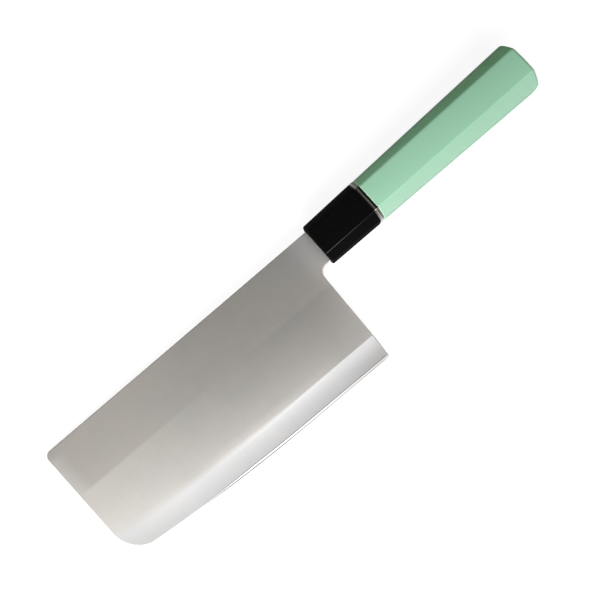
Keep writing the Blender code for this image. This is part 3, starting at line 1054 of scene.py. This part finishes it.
# Painted light on the ring: a bright line of painted highlight across it, a dark painted reflection on
# either side of the line, and painted shade on the faces towards the spine.
BRIGHT_SHARE = 0.37
BRIGHT_HALF = 0.00018
BRIGHT_SOFT = 0.00024
CLOTH_SPACING = (0.00008, 0.004, 0.004)
NICKEL_DEEP = (0.60, 0.59, 0.57)
NICKEL_PALE = (0.78, 0.77, 0.75)
RING_SIDE_SHADE = (0.10, 0.11, 0.09)
RING_SHADE_SIDE = (0.05, 0.55)
RING_SHADE_SHARE = 0.75
RING_DARK_REFLECTION = (0.08, 0.09, 0.07)
RING_DARK_SIDE = (-0.6, -0.1)
RING_DARK_LEAST = 0.6
NICKEL_ROUGHNESS = (0.18, 0.30)

start = FERRULE_LENGTH + CLEARANCE
end = FERRULE_LENGTH + SPACER_THICKNESS - CLEARANCE
loops = []
for k in range(SPACER_STEPS + 1):
    share = k / SPACER_STEPS
    rise = SPACER_CROWN * (1 - (2 * share - 1) ** 2)
    loops.append(octagon(start + (end - start) * share, SPACER_CROWN - rise))
loops += [bore_loop(end, DOWEL_BORE), bore_loop(start, DOWEL_BORE)]
spacer = add_handle_piece("bright_spacer", loops, True)
nickel, tree, shader, place = new_material("nickel_silver")
fine = group_node(tree, polishing_lines, Vector=place, Spacing=CLOTH_SPACING).outputs["Fine"]
colour = blend_colours(tree, fine, NICKEL_DEEP, NICKEL_PALE)
# Painted highlight and reflection: a bright line across the ring, about a third of its width from the
# ferrule, dark colour on either side of it, less dark on the faces towards the edge, and painted shade on
# the faces towards the spine.
bright_x = axis.x + FERRULE_LENGTH + SPACER_THICKNESS * BRIGHT_SHARE
off_line = math_node(tree, "ABSOLUTE", math_node(tree, "SUBTRACT", along_handle(tree, place), bright_x))
shaded_faces = product(tree, facing_side(tree, TO_SPINE, RING_SHADE_SIDE), RING_SHADE_SHARE)
colour = blend_colours(tree, shaded_faces, colour, RING_SIDE_SHADE)
dark_reflection = product(tree, at_least(tree, facing_side(tree, TO_SPINE, RING_DARK_SIDE), RING_DARK_LEAST),
                  ramp_node(tree, off_line, BRIGHT_HALF, BRIGHT_HALF + BRIGHT_SOFT))
join(tree, blend_colours(tree, dark_reflection, colour, RING_DARK_REFLECTION), shader.inputs["Base Color"])
join(tree, ramp_node(tree, fine, *NOISE_SPAN, *NICKEL_ROUGHNESS), shader.inputs["Roughness"])
join(tree, 1.0, shader.inputs["Metallic"])
spacer.data.materials.append(nickel)
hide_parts("spacer_ring")


# Handle body: the green octagonal grip, lacquered over wood. It has a blind bore for the dowel with
# a narrower slot behind it for the end of the tang, and a well-rounded butt.

BODY_RIDGE = 0.0026
BODY_CROWN = 0.00022
BUTT_RIM = 0.0020
BORE_END = 0.0623
SLOT_END = 0.0923
SLOT_HEIGHT = 0.0096
SLOT_THICKNESS = 0.0036
TONE_LENGTH = (0.050, 0.150)
MINT_FRONT = (0.320, 0.590, 0.420)
# Painted shade: the lacquer's colour at the butt is darker.
MINT_BUTT_SHADED = (0.279, 0.528, 0.373)
MINT_DEEP = (0.262, 0.513, 0.356)
MINT_DEEP_SHARE = 0.25
# A paler front rim: a painted highlight.
MINT_RIM_HIGHLIGHT = (0.48, 0.76, 0.57)
# Tints of painted shade for the facets towards the spine, and of painted light for those towards the edge.
UNTINTED = (1.0, 1.0, 1.0)
SPINE_FACET_SHADE = (0.83, 1.0, 0.82)
SPINE_FACET_BUTT_SHADE = (0.66, 0.91, 0.63)
SPINE_RIDGE_SHADE = (0.80, 0.76, 0.72)
SPINE_RIDGE_BUTT_SHADE = (0.76, 0.72, 0.68)
LIT_SIDE_FRONT_TINT = (0.96, 0.84, 0.90)
LIT_SIDE_TINT = (0.97, 0.87, 0.92)
SPINE_SIDE_SPAN = (0.25, 0.75)
SPINE_RIDGE_SPAN = (0.72, 0.84)
EDGE_SIDE_SPAN = (-0.25, -0.75)
TO_TOP = (0.0, 0.0, 1.0)
SPINE_SIDE_TOP_SPAN = (0.07, 0.45)
SPINE_SIDE_TOP_LEAST = 0.55
SPINE_RIDGE_TOP_SPAN = (0.07, 0.30)
HANDLE_CLOUD = (90.0, 3.0)
HANDLE_RIM_HIGHLIGHT = (0.3, 0.5)
HANDLE_ROUGHNESS = (0.42, 0.50)
ROUGHER_LACQUER_GRAZING = 0.45
LACQUER_SPECULAR = 0.25
PEEL_SCALE = 900.0
PEEL_BUMP = 0.000006

start = FERRULE_LENGTH + SPACER_THICKNESS + CLEARANCE
loops = [slot_loop(x, SLOT_HEIGHT, SLOT_THICKNESS) for x in (SLOT_END, BORE_END)]
loops += [bore_loop(BORE_END, DOWEL_BORE), bore_loop(start, DOWEL_BORE)]
joint_loops = range(len(loops), len(loops) + RIM_ARC_STEPS)
loops += rim_loops(start, JOINT_RIM, 1, ridge=BODY_RIDGE, crown=BODY_CROWN)
loops += reversed(rim_loops(HANDLE_LENGTH, BUTT_RIM, -1, ridge=BODY_RIDGE, crown=BODY_CROWN))
handle = add_handle_piece("mint_handle", loops, False, joint_loops)
mint, tree, shader, place = new_material("mint_lacquer")
cloud = cloud_tone(tree, place, *HANDLE_CLOUD)
# Painted shade: the lacquer grows darker towards the butt.
towards_butt = ramp_node(tree, along_handle(tree, place), *TONE_LENGTH)
colour = blend_colours(tree, towards_butt, MINT_FRONT, MINT_BUTT_SHADED)
colour = blend_colours(tree, product(tree, cloud, MINT_DEEP_SHARE), colour, MINT_DEEP)
# Painted light and shade by facet: the facets towards the spine, most of all their steep ridge, are painted
# deeper and darker, more so at the butt; the facets towards the edge, the lit side, are painted greyer.
upward = at_least(tree, facing_side(tree, TO_TOP, SPINE_SIDE_TOP_SPAN), SPINE_SIDE_TOP_LEAST)
spine_side = product(tree, facing_side(tree, TO_SPINE, SPINE_SIDE_SPAN), upward)
shaded_spine_tint = blend_colours(tree, towards_butt, SPINE_FACET_SHADE, SPINE_FACET_BUTT_SHADE)
tint = blend_colours(tree, spine_side, UNTINTED, shaded_spine_tint)
lit_edge_tint = blend_colours(tree, towards_butt, LIT_SIDE_FRONT_TINT, LIT_SIDE_TINT)
tint = blend_colours(tree, facing_side(tree, TO_SPINE, EDGE_SIDE_SPAN), tint, lit_edge_tint)
steep = product(tree, facing_side(tree, TO_SPINE, SPINE_RIDGE_SPAN),
                facing_side(tree, TO_TOP, SPINE_RIDGE_TOP_SPAN))
shaded_ridge_tint = blend_colours(tree, towards_butt, SPINE_RIDGE_SHADE, SPINE_RIDGE_BUTT_SHADE)
tint = tint_colour(tree, tint, blend_colours(tree, steep, UNTINTED, shaded_ridge_tint))
colour = tint_colour(tree, colour, tint)
# Painted highlight: the front rim next to the spacer is paler, broken up by specks.
edge_marking = speckled_edge_mask(tree, place, "on_rim", HANDLE_RIM_HIGHLIGHT)
join(tree, blend_colours(tree, edge_marking, colour, MINT_RIM_HIGHLIGHT), shader.inputs["Base Color"])
rough = ramp_node(tree, cloud, *NOISE_SPAN, *HANDLE_ROUGHNESS)
join(tree, rougher_at_grazing(tree, rough, ROUGHER_LACQUER_GRAZING), shader.inputs["Roughness"])
join(tree, LACQUER_SPECULAR, shader.inputs["Specular IOR Level"])
bump = add_node(tree, "Bump")
join(tree, PEEL_BUMP, bump.inputs["Distance"])
join(tree, cloud_tone(tree, place, PEEL_SCALE), bump.inputs["Height"])
join(tree, bump.outputs[0], shader.inputs["Normal"])
handle.data.materials.append(mint)
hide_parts("handle_body")


# Dowel and adhesive: the hardwood pin that strings the handle together and the hard dark adhesive
# round the tang. Both are out of sight inside, so their modelled solids stay, with a real finish.

GRAIN_SPACING = (0.02, 0.0006, 0.0006)
WOOD_DEEP = (0.36, 0.235, 0.13)
WOOD_PALE = (0.56, 0.40, 0.24)
WOOD_ROUGHNESS = (0.7, 0.5)
RESIN_SCALE = 700.0
RESIN_DEEP = (0.02, 0.018, 0.015)
RESIN_PALE = (0.04, 0.036, 0.03)
RESIN_ROUGHNESS = (0.35, 0.55)


def finish_inside(node, name, tone_of, deep, pale, roughness):
    """Material of two tones and a changing roughness, on a solid that stays."""
    made, tree, shader, place = new_material(name)
    tone = tone_of(tree, place)
    join(tree, blend_colours(tree, tone, deep, pale), shader.inputs["Base Color"])
    join(tree, ramp_node(tree, tone, *NOISE_SPAN, *roughness), shader.inputs["Roughness"])
    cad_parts[node].data.materials.clear()
    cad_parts[node].data.materials.append(made)


def grain(tree, place):
    """The wood's long fibres."""
    return group_node(tree, polishing_lines, Vector=place, Spacing=GRAIN_SPACING).outputs["Fine"]


def resin_tone(tree, place):
    """The adhesive's cloudy filler."""
    return cloud_tone(tree, place, RESIN_SCALE)


finish_inside("dowel", "dowel_wood", grain, WOOD_DEEP, WOOD_PALE, WOOD_ROUGHNESS)
finish_inside("tang_adhesive", "dark_resin", resin_tone, RESIN_DEEP, RESIN_PALE, RESIN_ROUGHNESS)
